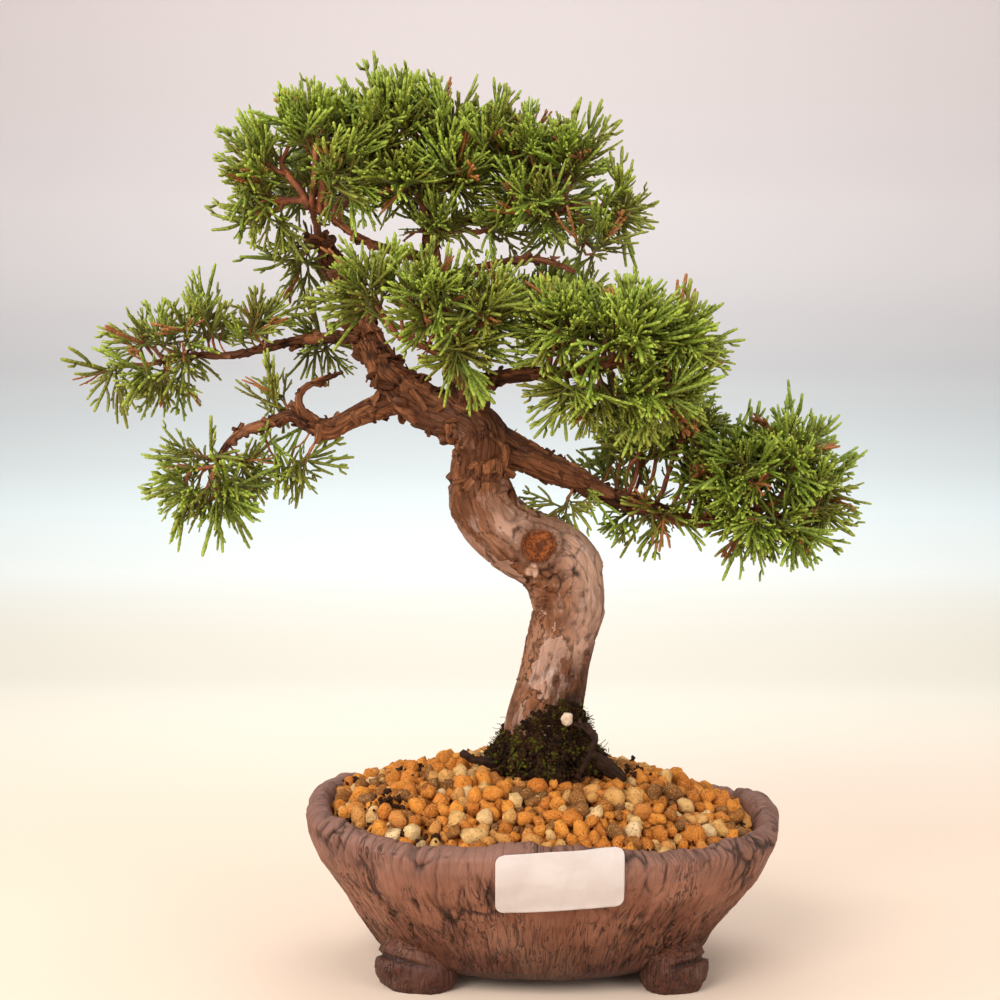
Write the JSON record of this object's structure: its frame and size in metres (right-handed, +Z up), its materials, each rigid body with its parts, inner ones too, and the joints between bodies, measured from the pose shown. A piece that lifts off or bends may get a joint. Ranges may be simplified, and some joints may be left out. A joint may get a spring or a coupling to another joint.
{
  "type": "bonsai tree in a pot",
  "caption": "Small curved-trunk juniper bonsai with layered pads of scale foliage, standing in an oval hand-built clay pot filled with baked clay grains.",
  "frame": {"origin": "middle of the whole tree and pot seen from above, on the plane the pot's feet stand on", "axes": "+Z up along the trunk, +Y to the back of the tree, +X to its right as seen from the front"},
  "size_m": [0.3008, 0.1492, 0.3448],
  "materials": {
    "fired_clay": "unglazed brown clay with fine fibrous cracks",
    "screen_plastic": "black moulded mesh",
    "drain_wire": "bare wire",
    "soil": "moist planting mix bound by roots",
    "grains": "dry porous baked clay grains, orange to brown",
    "moss": "short dark moss and crusted soil",
    "pale_stone": "dull white pebble",
    "label_paper": "blank semi-gloss white sticker",
    "bark": "pinkish grey bark, smooth with cracks and small knobs",
    "root_bark": "dark flaking root bark",
    "branch_bark": "red-brown peeling bark",
    "foliage": "scale-leaved green shoots, brighter at the tips"
  },
  "bodies": {
    "root": {"pot": "fired_clay", "left_drain_screen": "screen_plastic", "right_drain_screen": "screen_plastic", "left_drain_wire": "drain_wire", "right_drain_wire": "drain_wire", "root_ball": "soil", "clay_grains": "grains", "moss": "moss", "pale_stone": "pale_stone", "label": "label_paper", "trunk": "bark", "left_root": "root_bark", "looped_root": "root_bark", "thick_root": "root_bark", "right_branch": "branch_bark", "left_lower_branch": "branch_bark", "hooked_twig": "branch_bark", "left_upper_branch": "branch_bark", "crown_leader": "branch_bark", "crown_left_limb": "branch_bark", "crown_right_limb": "branch_bark", "front_branch": "branch_bark", "front_left_branch": "branch_bark", "back_branch": "branch_bark", "right_twig": "branch_bark", "inner_left_twig": "branch_bark", "apex_twig": "branch_bark", "crown_left_foliage": "foliage", "crown_middle_foliage": "foliage", "crown_right_foliage": "foliage", "apex_foliage": "foliage", "inner_left_foliage": "foliage", "back_foliage": "foliage", "front_left_foliage": "foliage", "front_right_foliage": "foliage", "left_upper_foliage": "foliage", "left_lower_inner_foliage": "foliage", "left_lower_outer_foliage": "foliage", "right_inner_foliage": "foliage", "right_outer_foliage": "foliage", "right_hanging_foliage": "foliage"}
  },
  "joints": []
}
